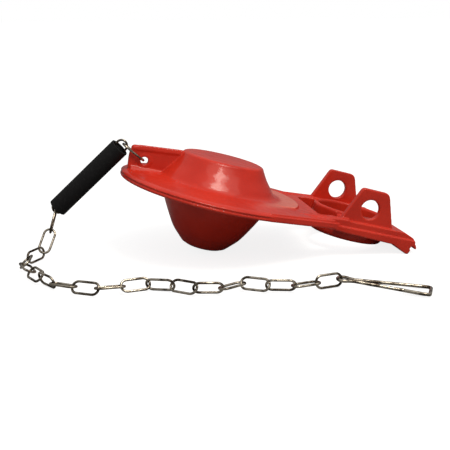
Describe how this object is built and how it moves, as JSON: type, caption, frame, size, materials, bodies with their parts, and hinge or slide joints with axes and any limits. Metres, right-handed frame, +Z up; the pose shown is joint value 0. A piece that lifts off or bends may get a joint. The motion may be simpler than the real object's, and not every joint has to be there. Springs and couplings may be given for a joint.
{
  "type": "toilet flapper",
  "caption": "Rubber flush-valve flapper with a hollow bulb, an overflow-pipe ring and hinge ears, and a link chain with a foam float and a wire clip.",
  "frame": {"origin": "centre of the bottom of the bounding box, on the surface it lies on", "axes": "+Z up from the surface, -X toward the flapper's nose and its float, +X toward its hinge ears, the loose chain on the -Y side"},
  "size_m": [0.1622, 0.1202, 0.0489],
  "materials": {
    "red_rubber": "smooth moulded, satin",
    "black_foam": "closed-cell foam, matt",
    "plated_wire": "plated wire, bright"
  },
  "bodies": {
    "flapper": {"flapper": "red_rubber"},
    "nose_link": {"nose_link": "plated_wire"},
    "held_links": {"float_link_1": "plated_wire", "float_link_2": "plated_wire", "float_link_3": "plated_wire", "float_link_4": "plated_wire", "float_link_5": "plated_wire"},
    "float": {"float_tube": "black_foam"},
    "chain_link_01": {"chain_link_01": "plated_wire"},
    "chain_link_02": {"chain_link_02": "plated_wire"},
    "chain_link_03": {"chain_link_03": "plated_wire"},
    "chain_link_04": {"chain_link_04": "plated_wire"},
    "chain_link_05": {"chain_link_05": "plated_wire"},
    "chain_link_06": {"chain_link_06": "plated_wire"},
    "chain_link_07": {"chain_link_07": "plated_wire"},
    "chain_link_08": {"chain_link_08": "plated_wire"},
    "chain_link_09": {"chain_link_09": "plated_wire"},
    "chain_link_10": {"chain_link_10": "plated_wire"},
    "chain_link_11": {"chain_link_11": "plated_wire"},
    "chain_link_12": {"chain_link_12": "plated_wire"},
    "chain_link_13": {"chain_link_13": "plated_wire"},
    "chain_link_14": {"chain_link_14": "plated_wire"},
    "chain_link_15": {"chain_link_15": "plated_wire"},
    "chain_link_16": {"chain_link_16": "plated_wire"},
    "chain_link_17": {"chain_link_17": "plated_wire"},
    "chain_link_18": {"chain_link_18": "plated_wire"},
    "chain_link_19": {"chain_link_19": "plated_wire"},
    "chain_clip": {"chain_clip": "plated_wire"}
  },
  "joints": [
    {"name": "nose_link_swing", "type": "hinge", "parent": "flapper", "child": "nose_link", "pos_m": [-0.0296, 0.01909, 0.03975], "axis": [0, 1, 0], "range_deg": [-10, 10]},
    {"name": "float_swing", "type": "hinge", "parent": "nose_link", "child": "held_links", "pos_m": [-0.03755, 0.01909, 0.04684], "axis": [0, 1, 0], "range_deg": [-5, 15]},
    {"name": "chain_link_01_swing", "type": "hinge", "parent": "held_links", "child": "chain_link_01", "pos_m": [-0.06705, 0.02838, 0.01808], "axis": [-0.6522, 0.1994, 0.7314], "range_deg": [-20, 15]},
    {"name": "chain_link_02_swing", "type": "hinge", "parent": "chain_link_01", "child": "chain_link_02", "pos_m": [-0.06905, 0.02303, 0.01037], "axis": [0.0437, -0.816, 0.5764], "range_deg": [-25, 25]},
    {"name": "chain_link_03_swing", "type": "hinge", "parent": "chain_link_02", "child": "chain_link_03", "pos_m": [-0.07246, 0.01828, 0.003], "axis": [-0.9268, 0.2849, 0.2447], "range_deg": [-25, 25]},
    {"name": "chain_link_04_swing", "type": "hinge", "parent": "chain_link_03", "child": "chain_link_04", "pos_m": [-0.07814, 0.01072, 0.003], "axis": [-0.1199, 0.0713, 0.9902], "range_deg": [-25, 25]},
    {"name": "chain_link_05_swing", "type": "hinge", "parent": "chain_link_04", "child": "chain_link_05", "pos_m": [-0.07907, 0.00137, 0.003], "axis": [0.7845, -0.074, 0.6156], "range_deg": [-25, 25]},
    {"name": "chain_link_06_swing", "type": "hinge", "parent": "chain_link_05", "child": "chain_link_06", "pos_m": [-0.07621, -0.00765, 0.003], "axis": [-0.8889, -0.264, 0.3745], "range_deg": [-25, 20]},
    {"name": "chain_link_07_swing", "type": "hinge", "parent": "chain_link_06", "child": "chain_link_07", "pos_m": [-0.0722, -0.01616, 0.003], "axis": [0.6308, 0.2911, 0.7193], "range_deg": [-25, 25]},
    {"name": "chain_link_08_swing", "type": "hinge", "parent": "chain_link_07", "child": "chain_link_08", "pos_m": [-0.06727, -0.02417, 0.003], "axis": [-0.2323, -0.1485, 0.9612], "range_deg": [-25, 15]},
    {"name": "chain_link_09_swing", "type": "hinge", "parent": "chain_link_08", "child": "chain_link_09", "pos_m": [-0.0598, -0.02988, 0.003], "axis": [-0.5986, -0.7736, 0.2079], "range_deg": [-25, 25]},
    {"name": "chain_link_10_swing", "type": "hinge", "parent": "chain_link_09", "child": "chain_link_10", "pos_m": [-0.05164, -0.03456, 0.003], "axis": [0.326, 0.554, 0.766], "range_deg": [-25, 25]},
    {"name": "chain_link_11_swing", "type": "hinge", "parent": "chain_link_10", "child": "chain_link_11", "pos_m": [-0.0423, -0.03278, 0.003], "axis": [0.1667, -0.9639, 0.2077], "range_deg": [-25, 25]},
    {"name": "chain_link_12_swing", "type": "hinge", "parent": "chain_link_11", "child": "chain_link_12", "pos_m": [-0.03305, -0.03111, 0.003], "axis": [-0.1186, 0.6585, 0.7431], "range_deg": [-25, 25]},
    {"name": "chain_link_13_swing", "type": "hinge", "parent": "chain_link_12", "child": "chain_link_13", "pos_m": [-0.02462, -0.03547, 0.003], "axis": [-0.1888, -0.3068, 0.9329], "range_deg": [-25, 25]},
    {"name": "chain_link_14_swing", "type": "hinge", "parent": "chain_link_13", "child": "chain_link_14", "pos_m": [-0.01732, -0.04139, 0.003], "axis": [0.4231, 0.5184, 0.7431], "range_deg": [-25, 25]},
    {"name": "chain_link_15_swing", "type": "hinge", "parent": "chain_link_14", "child": "chain_link_15", "pos_m": [-0.00785, -0.042, 0.003], "axis": [-0.0033, -0.4081, 0.9129], "range_deg": [-25, 25]},
    {"name": "chain_link_16_swing", "type": "hinge", "parent": "chain_link_15", "child": "chain_link_16", "pos_m": [0.00056, -0.03776, 0.003], "axis": [0.4362, -0.889, 0.1391], "range_deg": [-25, 25]},
    {"name": "chain_link_17_swing", "type": "hinge", "parent": "chain_link_16", "child": "chain_link_17", "pos_m": [0.00892, -0.04312, 0.003], "axis": [0.2997, 0.5382, 0.7877], "range_deg": [-25, 25]},
    {"name": "chain_link_18_swing", "type": "hinge", "parent": "chain_link_17", "child": "chain_link_18", "pos_m": [0.01817, -0.04491, 0.003], "axis": [-0.0663, -0.4016, 0.9134], "range_deg": [-25, 25]},
    {"name": "chain_link_19_swing", "type": "hinge", "parent": "chain_link_18", "child": "chain_link_19", "pos_m": [0.02743, -0.04322, 0.003], "axis": [0.1712, -0.9797, 0.1045], "range_deg": [-25, 25]},
    {"name": "clip_swing", "type": "hinge", "parent": "chain_link_19", "child": "chain_clip", "pos_m": [0.03659, -0.04109, 0.003], "axis": [-0.0464, 0.2027, 0.9781], "range_deg": [-25, 25]},
    {"name": "float_slide", "type": "slide", "parent": "held_links", "child": "float", "axis": [-0.6994, 0.2138, -0.682], "range_m": [-0.0005, 0.0005]}
  ]
}
